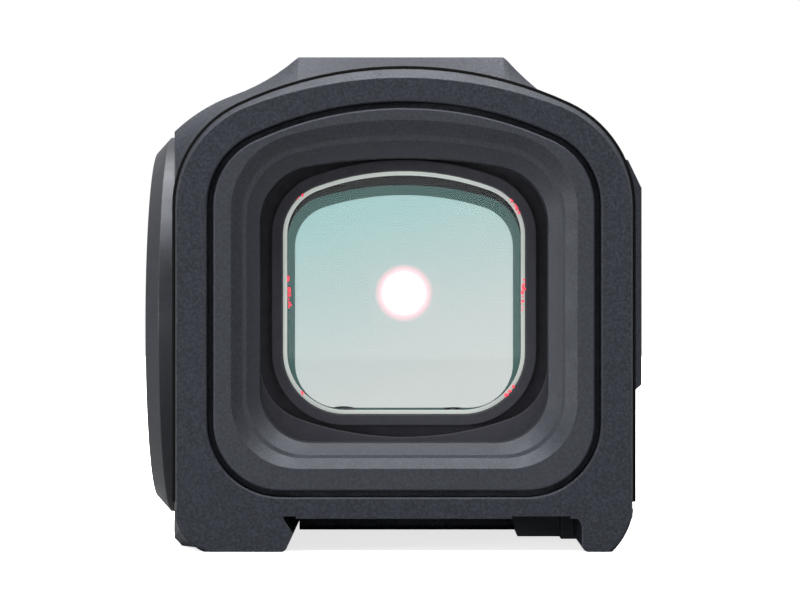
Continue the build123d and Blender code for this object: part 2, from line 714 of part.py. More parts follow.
def elevation_frame():
    """Frame that the elevation screw lifts, with a shelf and lugs for the emitter carriage."""
    rear = -17.05
    front = -15.35
    ring = frame_section(10.7) - arched(8.95, 8.9, 4.6, 3.6, -8.95, 2.5)
    body = prism(ring, rear, front)
    top = AXIS_Z + 10.6
    body += block(-2.0, 2.0, rear, -13.7, top - 1.5, top - 0.1)
    low = AXIS_Z - 10.9
    body += block(-10.0, 10.0, front - 0.3, -12.7, low, low + 0.6)
    for side in (-1, 1):
        body += block(side * 9.9 - 0.6, side * 9.9 + 0.6, front - 0.3, -12.8, low, AXIS_Z - 8.8)
    body -= rod_z(ADJUSTER_SHANK + RUN, 20.0, 28.0, 0, ELEVATION_Y)
    return body - rod_x(0.42, -10.6, 10.6, WINDAGE_Y, AXIS_Z - 9.55)


def emitter_guide_pin():
    """Pin along which the emitter carriage slides."""
    return rod_x(0.4, -10.4, 10.4, WINDAGE_Y, AXIS_Z - 9.55)


def emitter_carriage():
    """Carriage that the windage screw moves sideways, with an arm up to the floating nut."""
    rear = -15.05
    front = -12.65
    body = block(-8.2, 8.2, rear, front, AXIS_Z - 10.2, AXIS_Z - 8.65)
    body += block(7.0, 10.5, rear, front, AXIS_Z - 8.65, AXIS_Z - 7.8)
    body += block(9.1, 10.5, rear, front, AXIS_Z - 8.0, AXIS_Z + 2.4)
    body -= block(9.3, 11.0, -14.7, -13.0, AXIS_Z - 1.45, AXIS_Z + 1.45)
    screw_way = ADJUSTER_SHANK + 0.15
    screw_rise = screw_way + ADJUSTER_TRAVEL
    slot = Pos(9.2, WINDAGE_Y, AXIS_Z) * Box(0.6, 2 * screw_way, 2 * screw_rise)
    body -= slot
    for x in led_screw_places():
        body -= rod_z(0.34, AXIS_Z - 9.2, AXIS_Z - 8.0, x, -14.4)
    return body - rod_x(0.46, -9.0, 9.0, WINDAGE_Y, AXIS_Z - 9.55)


def led_screw_places():
    """The emitter screws' places along X."""
    return [-3.9, 3.2]


def led_board():
    """Small board under the emitter."""
    body = block(-5.3, 4.6, -15.0, -12.7, AXIS_Z - 8.63, AXIS_Z - 8.38)
    for x in led_screw_places():
        body -= rod_z(0.38, 0.0, 10.0, x, -14.4)
    return body


def led():
    """Point emitter."""
    return block(-0.35, 0.35, -13.25, -12.75, AXIS_Z - 8.36, AXIS_Z - 7.98)


def led_shroud():
    """Cover over the emitter board, with a small port that faces forward."""
    body = block(-5.2, 4.5, -15.0, -12.7, AXIS_Z - 8.36, AXIS_Z - 7.75)
    body -= block(-0.6, 0.6, -13.5, -12.0, AXIS_Z - 9.0, AXIS_Z - 7.9)
    for x in led_screw_places():
        body -= rod_z(0.38, 0.0, 10.0, x, -14.4)
    return body


def led_screws():
    """Two screws that hold the emitter cover."""
    seat = AXIS_Z - 7.74
    screws = [rod_z(0.32, seat - 1.4, seat, x, -14.4) + rod_z(0.58, seat, seat + 0.22, x, -14.4)
              for x in led_screw_places()]
    return Compound(children=screws)


def coil(radius, wire, turns, length):
    """Helical spring standing on Z from its lower end."""
    path = Helix(pitch=length / turns, height=length, radius=radius)
    section = Plane(origin=path @ 0, z_dir=path % 0) * Circle(wire)
    return sweep(section, path=path)


def emitter_spring():
    """Spring that takes up the carriage's backlash."""
    return Pos(-9.2, WINDAGE_Y, AXIS_Z - 9.55) * Rot(0, 90, 0) * coil(0.52, 0.07, 4, 0.9)


def elevation_leaf_spring():
    """Bowed leaf under the elevation frame."""
    floor = AXIS_Z - 11.43
    with BuildSketch() as section:
        with BuildLine():
            Line((-6.0, floor), (-6.0, floor + 0.12))
            ThreePointArc((-6.0, floor + 0.12), (0, floor + 0.48), (6.0, floor + 0.12))
            Line((6.0, floor + 0.12), (6.0, floor))
            ThreePointArc((6.0, floor), (0, floor + 0.36), (-6.0, floor))
        make_face()
    return prism(section.sketch, -16.8, -15.6)


def emitter_flex():
    """Flexible lead from the circuit board to the emitter carriage."""
    return block(-1.4, 1.4, -12.6, -7.6, 4.36, 4.5)


def adjuster_profile(reach):
    """Half section of an adjuster screw, as (radius, distance from the head's underside)."""
    head = ADJUSTER_HEAD_RADIUS
    groove = head - 0.62
    top = ADJUSTER_HEAD_THICKNESS
    return [
        (0, -reach),
        (ADJUSTER_SHANK, -reach),
        (ADJUSTER_SHANK, 0),
        (head, 0),
        (head, 0.2),
        (groove, 0.2),
        (groove, 0.85),
        (head, 0.85),
        (head, top - 0.1),
        (head - 0.1, top),
        (0, top),
    ]


def elevation_screw():
    """Elevation adjuster with a driver slot."""
    points = [(radius, ELEVATION_HEAD_Z + up) for radius, up in adjuster_profile(4.6)]
    top = ELEVATION_HEAD_Z + ADJUSTER_HEAD_THICKNESS
    slot = block(-2.2, 2.2, ELEVATION_Y - 0.35, ELEVATION_Y + 0.35, top - 0.5, top + 1)
    return turned_z(points, 0, ELEVATION_Y) - slot


def windage_screw():
    """Windage adjuster with a driver slot."""
    points = [(WINDAGE_HEAD_X + out, radius) for radius, out in adjuster_profile(4.4)]
    top = WINDAGE_HEAD_X + ADJUSTER_HEAD_THICKNESS
    slot = block(top - 0.5, top + 1, WINDAGE_Y - 2.2, WINDAGE_Y + 2.2, AXIS_Z - 0.35, AXIS_Z + 0.35)
    return turned_x(points, WINDAGE_Y, AXIS_Z) - slot


def adjuster_seal():
    """O-ring in the groove of an adjuster's head, centred on the origin."""
    return Torus(ADJUSTER_HEAD_RADIUS - 0.3, 0.29)


def elevation_o_ring():
    """Seal of the elevation screw."""
    return Pos(0, ELEVATION_Y, ELEVATION_HEAD_Z + 0.525) * adjuster_seal()


def windage_o_ring():
    """Seal of the windage screw."""
    return Pos(WINDAGE_HEAD_X + 0.525, WINDAGE_Y, AXIS_Z) * Rot(0, 90, 0) * adjuster_seal()


def windage_nut():
    """Nut that floats up and down in the carriage's arm."""
    body = block(9.4, 10.55, WINDAGE_Y - 0.8, WINDAGE_Y + 0.8, AXIS_Z - 0.95, AXIS_Z + 0.95)
    return body - rod_x(ADJUSTER_SHANK + RUN, 9.0, 11.0, WINDAGE_Y, AXIS_Z)


def adjuster_retaining_rings():
    """Spring rings that hold both adjuster screws in."""
    outer = ADJUSTER_HEAD_RADIUS + 0.04
    ring = Cylinder(outer, 0.25) - Cylinder(2.15, 1.0) - Pos(0, 2.5, 0) * Box(0.9, 2.0, 1.0)
    over_head = ADJUSTER_HEAD_THICKNESS + 0.2
    rings = [Pos(0, ELEVATION_Y, ELEVATION_HEAD_Z + over_head) * ring]
    rings.append(Pos(WINDAGE_HEAD_X + over_head, WINDAGE_Y, AXIS_Z) * Rot(0, 90, 0) * ring)
    return Compound(children=rings)


def click_pins():
    """Round-nosed pins that click in the adjusters' heads."""
    low = ELEVATION_HEAD_Z - 1.1
    left = WINDAGE_HEAD_X - 1.1
    pins = [rod_z(CLICK_RADIUS, low, ELEVATION_HEAD_Z - 0.03, CLICK_OFFSET, ELEVATION_Y)]
    pins.append(rod_x(CLICK_RADIUS, left, WINDAGE_HEAD_X - 0.03, WINDAGE_Y, AXIS_Z + CLICK_OFFSET))
    return Compound(children=pins)


def click_springs():
    """Springs behind the click pins."""
    spring = coil(0.24, 0.06, 4, 0.45)
    springs = [Pos(CLICK_OFFSET, ELEVATION_Y, 26.2) * spring]
    springs.append(Pos(12.2, WINDAGE_Y, AXIS_Z + CLICK_OFFSET) * Rot(0, 90, 0) * spring)
    return Compound(children=springs)


def key_y(side):
    """Place of a key along Y."""
    return KEY_PLATE_Y + side * KEY_SPACING / 2


def key(side):
    """Domed key with a flange under the plate and a plunger for its snap dome."""
    y = key_y(side)
    profile = [
        (12.35, 0),
        (12.35, 1.0),
        (13.7, 1.0),
        (13.7, 3.6),
        (14.33, 3.6),
        (14.33, KEY_RADIUS),
        (KEY_FACE_X - 0.3, KEY_RADIUS),
        (KEY_FACE_X - 0.08, KEY_RADIUS - 0.25),
        (KEY_FACE_X, KEY_RADIUS - 0.8),
        (KEY_FACE_X, 0),
    ]
    return turned_x(profile, y, KEY_Z)


def sign_bars(side, depth):
    """Bars of the generic plus or minus sign sunk in a key's face."""
    y = key_y(side)
    bars = block(KEY_FACE_X - depth, KEY_FACE_X + 1, y - 1.3, y + 1.3, KEY_Z - 0.25, KEY_Z + 0.25)
    if side > 0:
        bars += block(KEY_FACE_X - depth, KEY_FACE_X + 1, y - 0.25, y + 0.25, KEY_Z - 1.3, KEY_Z + 1.3)
    return bars


def plus_button():
    """Brightness up key."""
    return key(1) - sign_bars(1, 0.2)


def minus_button():
    """Brightness down key."""
    return key(-1) - sign_bars(-1, 0.2)


def key_plate():
    """Plate that holds the keys, flush with the panel."""
    outline = key_outline(KEY_PLATE_LONG, KEY_PLATE_HIGH, KEY_PLATE_CORNER)
    body = side_prism(outline, KEY_PLATE_BACK_X, PANEL_X)
    rim = body.faces().sort_by(Axis.X)[-1].edges()
    body = chamfer(rim, 0.2)
    for side in (-1, 1):
        body -= rod_x(KEY_RADIUS + 0.08, 14.0, 16.0, key_y(side), KEY_Z)
    for y, z in key_screw_places():
        body -= rod_x(0.4, 14.0, 16.0, y, z) + rod_x(0.72, PANEL_X - 0.4, 16.0, y, z)
    return body


def key_plate_screws():
    """Four small slotted screws of the key plate."""
    screws = []
    for y, z in key_screw_places():
        top = PANEL_X - 0.05
        screw = rod_x(0.34, 12.8, PANEL_X - 0.39, y, z) + rod_x(0.68, PANEL_X - 0.39, top, y, z)
        screws.append(screw - block(top - 0.18, top + 1, y - 0.7, y + 0.7, z - 0.09, z + 0.09))
    return Compound(children=screws)


def key_seal():
    """Flat seal under the edge of the key plate."""
    outer = key_outline(KEY_PLATE_LONG - 0.2, KEY_PLATE_HIGH - 0.2, KEY_PLATE_CORNER - 0.1)
    inner = key_outline(KEY_BAY_LONG, KEY_BAY_HIGH, 1.2)
    body = side_prism(outer - inner, KEY_PLATE_BACK_X - 0.33, KEY_PLATE_BACK_X - 0.02)
    for y, z in key_screw_places():
        body -= rod_x(0.4, 13.0, 15.0, y, z)
    return body


def button_board():
    """Board behind the keys."""
    outline = key_outline(KEY_BAY_LONG - 0.3, KEY_BAY_HIGH - 0.3, 1.1)
    return side_prism(outline, KEY_BAY_FLOOR_X + 0.02, KEY_BAY_FLOOR_X + 0.62)


def snap_domes():
    """Metal snap domes under both keys."""
    base = KEY_BAY_FLOOR_X + 0.64
    upper = [(base, 2.2), (base + 0.28, 1.2), (base + 0.42, 0)]
    lower = [(base + 0.32, 0), (base + 0.2, 1.15), (base, 1.9)]
    profile = upper + lower
    return Compound(children=[turned_x(profile, key_y(side), KEY_Z) for side in (-1, 1)])


def button_flex():
    """Flexible lead from the button board down to the circuit board."""
    rise = block(11.0, 11.15, 0.4, 3.6, 3.62, 10.5)
    return rise + block(6.2, 11.15, 0.4, 3.6, 3.54, 3.69)


def clamp_jaw():
    """Moving side of the rail clamp, notched to pass the recoil lug."""
    low = -0.15
    with BuildSketch() as section:
        with BuildLine():
            Polyline(
                (NOSE_X + 0.2, NOSE_Z),
                (7.8, low),
                (JAW_INNER_X, low),
                (JAW_INNER_X, JAW_TOP_Z - 0.3),
                (JAW_INNER_X + 0.3, JAW_TOP_Z),
                (JAW_OUTER_X - 0.5, JAW_TOP_Z),
                (JAW_OUTER_X, JAW_TOP_Z - 0.5),
                (JAW_OUTER_X, FOOT_Z + 0.8),
                (JAW_OUTER_X - 0.8, FOOT_Z),
                (7.6, FOOT_Z),
                close=True,
            )
        make_face()
    body = prism(section.sketch, -JAW_HALF_LENGTH, JAW_HALF_LENGTH)
    ends = body.edges().filter_by(Axis.Z).sort_by(Axis.X)[-2:]
    body = chamfer(ends, 0.6)
    for side in (-1, 1):
        nose_end = side * (JAW_NOSE_HALF_LENGTH + 2)
        body -= block(0, JAW_STEP_X, nose_end - 2, nose_end + 2, -5, 5)
    gap = 0.25
    body -= block(0, JAW_INNER_X, LUG_REAR - gap, LUG_FRONT + gap, -5, 5)
    body -= rod_x(CLAMP_RADIUS + 0.1, 12.0, 16.0, LUG_Y, 0)
    body -= rod_x(CLAMP_HEAD_RADIUS + 0.08, 13.7, 16.0, LUG_Y, 0)
    body -= rod_x(CLAMP_HEAD_RADIUS, 12.0, 13.05, LUG_Y, 0)
    for side in (-1, 1):
        body -= rod_x(GUIDE_PIN_RADIUS + RUN, 12.0, 14.35, side * GUIDE_PIN_Y, GUIDE_PIN_Z)
        body -= rod_x(1.35, 12.0, 13.2, side * GUIDE_PIN_Y, GUIDE_PIN_Z)
    return body


def clamp_screw():
    """Clamp screw with a hexagon socket and a groove for its clip."""
    face = JAW_OUTER_X + 0.05
    body = rod_x(CLAMP_RADIUS, 2.2, 13.8, LUG_Y, 0) + rod_x(CLAMP_HEAD_RADIUS, 13.75, face, LUG_Y, 0)
    body -= rod_x(2.2, 12.55, 12.9, LUG_Y, 0) - rod_x(0.85, 12.0, 13.5, LUG_Y, 0)
    socket = Pos(LUG_Y, 0) * RegularPolygon(1.05, 6)
    return body - side_prism(socket, face - 0.9, face + 1)


def clamp_screw_clip():
    """Clip that makes the screw draw the jaw outwards."""
    ring = rod_x(1.75, 12.58, 12.87, LUG_Y, 0) - rod_x(0.88, 12.0, 13.5, LUG_Y, 0)
    return ring - block(12.0, 13.5, LUG_Y - 0.6, LUG_Y + 0.6, -3, -0.3)


def jaw_guide_pins():
    """Two pins, pressed in the housing, on which the jaw slides."""
    pins = [rod_x(GUIDE_PIN_RADIUS - 0.01, 10.45, 14.2, side * GUIDE_PIN_Y, GUIDE_PIN_Z) for side in (-1, 1)]
    return Compound(children=pins)


def jaw_springs():
    """Springs that push the jaw open."""
    spring = coil(1.0, 0.14, 3, 0.72)
    springs = [Pos(12.33, side * GUIDE_PIN_Y, GUIDE_PIN_Z) * Rot(0, 90, 0) * spring for side in (-1, 1)]
    return Compound(children=springs)


def purge_screw():
    """Slotted screw that closes the purge hole."""
    seat = 26.92
    body = rod_z(0.95, 23.6, seat, 0, 11.5) + rod_z(1.65, seat, seat + 0.9, 0, 11.5)
    return body - block(-2, 2, 11.2, 11.8, seat + 0.45, seat + 2)


PARTS = [
    housing, rear_bezel, rear_lens_frame, rear_lens, rear_lens_gasket, front_bezel, front_seal,
    front_lens_cell, front_lens_outer, front_lens_inner, battery_cap, cap_o_ring, coin_cell,
    battery_tray, battery_contact_spring, feed_pin, feed_bush, board_insulator, main_board,
    board_parts, board_screws, light_baffle, elevation_frame, emitter_guide_pin, emitter_carriage,
    led_board, led, led_shroud, led_screws, emitter_spring, elevation_leaf_spring, emitter_flex,
    elevation_screw, elevation_o_ring, windage_screw, windage_o_ring, windage_nut,
    adjuster_retaining_rings, click_pins, click_springs, plus_button, minus_button, key_plate,
    key_plate_screws, key_seal, button_board, snap_domes, button_flex, clamp_jaw, clamp_screw,
    clamp_screw_clip, jaw_guide_pins, jaw_springs, purge_screw, hood_bands,
]

os.makedirs("parts", exist_ok=True)
for make in PARTS:
    export_step(make(), f"parts/{make.__name__}.step")
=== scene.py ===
import bpy
import bmesh
import json
import math
import random
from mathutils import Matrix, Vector


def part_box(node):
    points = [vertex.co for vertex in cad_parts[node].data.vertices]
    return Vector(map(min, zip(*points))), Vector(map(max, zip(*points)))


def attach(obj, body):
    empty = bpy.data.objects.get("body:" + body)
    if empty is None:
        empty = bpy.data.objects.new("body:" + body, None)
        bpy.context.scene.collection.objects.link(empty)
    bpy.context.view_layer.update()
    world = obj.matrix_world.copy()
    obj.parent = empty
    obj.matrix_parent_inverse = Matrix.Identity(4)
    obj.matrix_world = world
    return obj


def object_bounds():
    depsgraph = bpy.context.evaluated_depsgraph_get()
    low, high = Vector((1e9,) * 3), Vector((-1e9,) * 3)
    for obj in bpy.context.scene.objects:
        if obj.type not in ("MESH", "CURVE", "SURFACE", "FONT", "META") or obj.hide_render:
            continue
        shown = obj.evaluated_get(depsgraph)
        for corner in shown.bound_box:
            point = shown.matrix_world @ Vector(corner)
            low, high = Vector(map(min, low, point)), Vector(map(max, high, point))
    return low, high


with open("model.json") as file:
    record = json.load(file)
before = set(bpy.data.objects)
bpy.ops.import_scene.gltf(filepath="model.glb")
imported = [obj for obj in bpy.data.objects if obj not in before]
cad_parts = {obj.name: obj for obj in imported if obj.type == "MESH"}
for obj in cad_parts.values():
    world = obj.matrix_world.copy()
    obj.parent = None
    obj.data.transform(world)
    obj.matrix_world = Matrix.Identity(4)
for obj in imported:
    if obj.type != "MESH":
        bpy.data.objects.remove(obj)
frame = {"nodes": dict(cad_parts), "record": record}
CAD_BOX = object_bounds()
NODES = frame["nodes"]
MOUNTS = {m["name"]: m["pos_m"] for m in frame["record"]["mounts"]}
MM = 0.001
FLOOR_Z = CAD_BOX[0].z
AXIS_Z = MOUNTS["rear_hood"][2]
REAR_Y = MOUNTS["rear_hood"][1]

scene = bpy.context.scene

# The dot and the glints, in millimetres
DOT_CORE = 1.52
DOT_HALO = 2.25
GAP_BEHIND_LENS = 0.12
FLECK_SIZES = (0.05, 0.13)

# Camera and light, in metres, millimetres of lens and watts
EYE_DISTANCE = 0.200
LENS_LENGTH = 143.1
LENS_SHIFT = (-0.005, -0.00875)
OVERHEAD_POWER = 18.0
FRONT_FILL_POWER = 1.4
LEFT_FILL_POWER = 2.6
WORLD_SEEN = 1.0
WORLD_LIGHT = 0.44
FLOOR_RADIUS = 0.60


# ---------------------------------------------------------------- node helpers
class Graph:
    """A material with one Principled shader and short calls for its nodes."""

    def __init__(self, name):
        self.mat = bpy.data.materials.new(name)
        self.mat.use_nodes = True
        self.tree = self.mat.node_tree
        self.tree.nodes.clear()
        self.out = self.tree.nodes.new("ShaderNodeOutputMaterial")
        self.bsdf = self.tree.nodes.new("ShaderNodeBsdfPrincipled")
        self.link(self.bsdf.outputs[0], self.out.inputs["Surface"])
        self.coord = self.tree.nodes.new("ShaderNodeTexCoord").outputs["Object"]

    def link(self, a, b):
        self.tree.links.new(a, b)

    def split(self, vector):
        """The X, Y and Z sockets of a vector."""
        node = self.tree.nodes.new("ShaderNodeSeparateXYZ")
        self.link(vector, node.inputs[0])
        return node.outputs

    def length(self, vector):
        node = self.tree.nodes.new("ShaderNodeVectorMath")
        node.operation = "LENGTH"
        self.link(vector, node.inputs[0])
        return node.outputs["Value"]

    def show(self, fac, first, second):
        """Sends a mixture of two shaders to the surface."""
        mixer = self.tree.nodes.new("ShaderNodeMixShader")
        self.link(fac, mixer.inputs[0])
        self.link(first.outputs[0], mixer.inputs[1])
        self.link(second.outputs[0], mixer.inputs[2])
        self.link(mixer.outputs[0], self.out.inputs["Surface"])

    def set(self, **values):
        for key, value in values.items():
            self.bsdf.inputs[key.replace("_", " ")].default_value = value

    def put(self, value, socket):
        if isinstance(value, (int, float, tuple)):
            socket.default_value = value
        else:
            self.link(value, socket)

    def math(self, kind, a, b=0.0, clamp=False):
        node = self.tree.nodes.new("ShaderNodeMath")
        node.operation = kind
        node.use_clamp = clamp
        self.put(a, node.inputs[0])
        self.put(b, node.inputs[1])
        return node.outputs[0]

    def stretch(self, scale=(1, 1, 1), move=(0, 0, 0)):
        node = self.tree.nodes.new("ShaderNodeMapping")
        node.inputs["Scale"].default_value = scale
        node.inputs["Location"].default_value = move
        self.link(self.coord, node.inputs["Vector"])
        return node.outputs[0]

    def noise(self, per_mm, detail=3.0, rough=0.6, vector=None):
        node = self.tree.nodes.new("ShaderNodeTexNoise")
        node.inputs["Scale"].default_value = per_mm / MM
        node.inputs["Detail"].default_value = detail
        node.inputs["Roughness"].default_value = rough
        self.link(vector or self.coord, node.inputs["Vector"])
        return node.outputs["Fac"]

    def specks(self, per_mm, radius):
        """White dots of dust: 1 inside a speck, 0 elsewhere."""
        node = self.tree.nodes.new("ShaderNodeTexVoronoi")
        node.inputs["Scale"].default_value = per_mm / MM
        self.link(self.coord, node.inputs["Vector"])
        return self.math("LESS_THAN", node.outputs["Distance"], radius * per_mm)

    def ramp(self, value, stops):
        node = self.tree.nodes.new("ShaderNodeValToRGB")
        ramp = node.color_ramp
        ramp.elements[0].position, ramp.elements[0].color = stops[0][0], (*stops[0][1], 1)
        ramp.elements[1].position, ramp.elements[1].color = stops[-1][0], (*stops[-1][1], 1)
        for place, colour in stops[1:-1]:
            ramp.elements.new(place).color = (*colour, 1)
        self.link(value, node.inputs["Fac"])
        return node.outputs["Color"]

    def mix(self, fac, a, b):
        node = self.tree.nodes.new("ShaderNodeMix")
        node.data_type = "RGBA"
        self.put(fac, node.inputs["Factor"])
        self.put((*a, 1) if isinstance(a, tuple) else a, node.inputs["A"])
        self.put((*b, 1) if isinstance(b, tuple) else b, node.inputs["B"])
        return node.outputs["Result"]

    def soft_edges(self, radius):
        """Normal of slightly rounded edges, and a mask that is 1 on the edges."""
        bevel = self.tree.nodes.new("ShaderNodeBevel")
        bevel.samples = 6
        bevel.inputs["Radius"].default_value = radius
        geometry = self.tree.nodes.new("ShaderNodeNewGeometry")
        dot = self.tree.nodes.new("ShaderNodeVectorMath")
        dot.operation = "DOT_PRODUCT"
        self.link(bevel.outputs[0], dot.inputs[0])
        self.link(geometry.outputs["Normal"], dot.inputs[1])
        edge = self.math("SUBTRACT", 1.0, dot.outputs["Value"], clamp=True)
        return bevel.outputs[0], edge

    def bump(self, height, strength, depth, normal=None):
        node = self.tree.nodes.new("ShaderNodeBump")
        node.inputs["Strength"].default_value = strength
        node.inputs["Distance"].default_value = depth
        self.put(height, node.inputs["Height"])
        if normal is not None:
            self.link(normal, node.inputs["Normal"])
        return node.outputs[0]

    def colour(self, socket):
        self.put(socket, self.bsdf.inputs["Base Color"])

    def roughness(self, low, high, value):
        node = self.tree.nodes.new("ShaderNodeMapRange")
        node.inputs["From Min"].default_value = 0.3
        node.inputs["From Max"].default_value = 0.7
        node.inputs["To Min"].default_value = low
        node.inputs["To Max"].default_value = high
        self.link(value, node.inputs["Value"])
        self.link(node.outputs[0], self.bsdf.inputs["Roughness"])

    def normal(self, socket):
        self.link(socket, self.bsdf.inputs["Normal"])


# ---------------------------------------------------------------- materials
def painted_highlight_inside(g, base):
    """Painted highlight on the slope that leads into the window: paler further in."""
    start, reach = REAR_Y + 0.3 * MM, 1.1 * MM
    depth = g.math("DIVIDE", g.math("SUBTRACT", g.split(g.coord)["Y"], start), reach, clamp=True)
    return g.mix(g.math("MULTIPLY", depth, 0.42), base, (0.042, 0.044, 0.052))


def anodised(name, dark=(0.0030, 0.0038, 0.0064), light=(0.0075, 0.0090, 0.0138), grain=1.0,
             rough=(0.46, 0.60), edge=0.10, rings=None, edge_wear_and_highlight=0.9, inside=False, gloss=0.33):
    """Black anodise over a bead-blasted or turned surface, paler on the edges: partly rubbed through, partly
    a painted highlight.

    The edge's softness is in millimetres; rings holds the centre and the tool marks per millimetre.
    """
    g = Graph(name)
    blast = g.noise(5.5, 4.0, 0.75)
    cloud = g.noise(0.22, 3.0, 0.55)
    base = g.mix(g.math("MULTIPLY", cloud, 0.9, clamp=True), dark, light)
    pits = g.ramp(blast, [(0.42, (0, 0, 0)), (0.62, (1, 1, 1))])
    base = g.mix(g.math("MULTIPLY", pits, 0.95), base, (0.0195, 0.0222, 0.0296))
    normal, edges = g.soft_edges(edge * MM)
    patch = g.noise(1.3, 3.0, 0.7)
    # Paler edges: partly rubbed-through anodise, partly a painted highlight where edges catch the light.
    rubbed_and_highlit = g.math("MULTIPLY", g.math("MULTIPLY", edges, 2.2 * edge_wear_and_highlight, clamp=True), patch, clamp=True)
    base = g.mix(rubbed_and_highlit, base, (0.17, 0.175, 0.18))
    base = g.mix(g.math("MULTIPLY", g.specks(0.24, 0.028), 0.35), base, (0.45, 0.45, 0.43))
    # Painted highlight: paler towards the window on the bezel's inner slope.
    if inside:
        base = painted_highlight_inside(g, base)
    g.colour(base)
    g.roughness(rough[0], rough[1], g.noise(0.9, 3.0, 0.6))
    height = blast
    if rings:
        height = g.math("ADD", g.math("MULTIPLY", blast, 0.35), turned_rings(g, *rings))
    g.normal(g.bump(height, grain, 0.035 * MM, normal))
    g.set(Specular_IOR_Level=gloss, Specular_Tint=(0.84, 0.88, 0.97, 1))
    return g.mat


def turned_rings(g, centre, per_mm):
    """Fine concentric tool marks round a line through centre along X."""
    vector = g.stretch((0, 1, 1), (0, -centre.y, -centre.z))
    line = g.tree.nodes.new("ShaderNodeTexNoise")
    line.noise_dimensions = "1D"
    line.inputs["Detail"].default_value = 2.0
    line.inputs["Scale"].default_value = 1.0
    g.link(g.math("MULTIPLY", g.length(vector), per_mm / MM), line.inputs["W"])
    return line.outputs["Fac"]


def frame_black():
    """Flat black paint inside the sight, dusty in places."""
    g = Graph("frame_black")
    fine = g.noise(9.0, 4.0, 0.7)
    base = g.mix(fine, (0.013, 0.0133, 0.0185), (0.034, 0.0345, 0.046))
    normal, edges = g.soft_edges(0.09 * MM)
    # Paler edges: partly rubbed paint, partly a painted highlight.
    base = g.mix(g.math("MULTIPLY", edges, 1.6, clamp=True), base, (0.07, 0.071, 0.072))
    base = g.mix(g.math("MULTIPLY", g.specks(0.5, 0.03), 0.5), base, (0.30, 0.30, 0.29))
    g.colour(base)
    g.roughness(0.6, 0.8, g.noise(1.2))
    g.normal(g.bump(fine, 0.5, 0.03 * MM, normal))
    g.set(Specular_IOR_Level=0.35)
    return g.mat


def plastic(name, dark, light, rough=(0.45, 0.6), per_mm=4.0):
    """Moulded plastic, faintly mottled, paler on its edges: partly rubbed, partly a painted highlight."""
    g = Graph(name)
    mottle = g.noise(per_mm, 3.0, 0.6)
    normal, edges = g.soft_edges(0.08 * MM)
    base = g.mix(mottle, dark, light)
    paler = tuple(min(1.0, c * 2.2 + 0.02) for c in light)
    base = g.mix(g.math("MULTIPLY", edges, 0.8, clamp=True), base, paler)
    g.colour(base)
    g.roughness(rough[0], rough[1], g.noise(0.8))
    g.normal(g.bump(mottle, 0.25, 0.02 * MM, normal))
    return g.mat


def rubber(name, dark, light, per_mm=6.0, sheen=0.25, gloss=0.4):
    """Porous matt rubber with a little sheen."""
    g = Graph(name)
    pores = g.noise(per_mm, 4.0, 0.7)
    normal, edges = g.soft_edges(0.12 * MM)
    base = g.mix(pores, dark, light)
    # Paler edges: partly rubbed, partly a painted highlight.
    base = g.mix(g.math("MULTIPLY", edges, 0.5, clamp=True), base, (0.06, 0.06, 0.058))
    g.colour(base)
    g.roughness(0.62, 0.82, g.noise(0.7))
    g.normal(g.bump(pores, 0.35, 0.03 * MM, normal))
    g.set(Sheen_Weight=sheen, Sheen_Roughness=0.5, Specular_IOR_Level=gloss)
    return g.mat


def metal(name, colour, rough=(0.22, 0.38), along=(0.3, 6.0, 6.0), tarnish=0.25):
    """Bright metal with drawn or ground marks stretched along one way."""
    g = Graph(name)
    marks = g.noise(1.0, 3.0, 0.7, g.stretch(along))
    stain = g.noise(0.5, 3.0, 0.6)
    darker = tuple(c * 0.72 for c in colour)
    base = g.mix(g.math("MULTIPLY", stain, tarnish * 2, clamp=True), colour, darker)
    g.colour(g.mix(g.math("MULTIPLY", marks, 0.25), base, darker))
    g.roughness(rough[0], rough[1], marks)
    normal = g.soft_edges(0.05 * MM)[0]
    g.normal(g.bump(marks, 0.2, 0.01 * MM, normal))
    g.set(Metallic=1.0)
    return g.mat


def black_oxide():
    """Blotchy black oxide on steel, grey on the edges: partly worn through, partly a painted highlight."""
    g = Graph("screw_black")
    blotch = g.noise(1.5, 4.0, 0.7)
    base = g.mix(blotch, (0.014, 0.014, 0.015), (0.034, 0.034, 0.036))
    normal, edges = g.soft_edges(0.09 * MM)
    base = g.mix(g.math("MULTIPLY", edges, 1.8, clamp=True), base, (0.20, 0.195, 0.19))
    g.colour(base)
    g.roughness(0.28, 0.46, g.noise(3.0))
    g.normal(g.bump(g.noise(8.0), 0.2, 0.02 * MM, normal))
    g.set(Metallic=0.55)
    return g.mat


def solder_mask():
    """Green lacquer over the weave and the copper traces of a board."""
    g = Graph("board_green")
    weave = g.noise(1.2, 2.0, 0.5, g.stretch((9.0, 1.0, 1.0)))
    traces = g.tree.nodes.new("ShaderNodeTexBrick")
    g.link(g.stretch((1 / MM, 1 / MM, 1 / MM)), traces.inputs["Vector"])
    traces.inputs["Scale"].default_value = 0.9
    traces.inputs["Mortar Size"].default_value = 0.05
    base = g.mix(weave, (0.010, 0.10, 0.045), (0.020, 0.17, 0.075))
    base = g.mix(g.math("MULTIPLY", traces.outputs["Fac"], 0.5), base, (0.05, 0.26, 0.12))
    g.colour(base)
    g.roughness(0.25, 0.4, weave)
    g.normal(g.bump(weave, 0.15, 0.02 * MM))
    return g.mat


def polyimide():
    """Amber film with traces running along it."""
    g = Graph("flex")
    traces = g.noise(1.0, 1.0, 0.5, g.stretch((6.0, 0.2, 0.2)))
    base = g.mix(traces, (0.42, 0.14, 0.018), (0.62, 0.27, 0.05))
    g.colour(base)
    g.roughness(0.25, 0.4, traces)
    g.normal(g.bump(traces, 0.2, 0.02 * MM))
    return g.mat


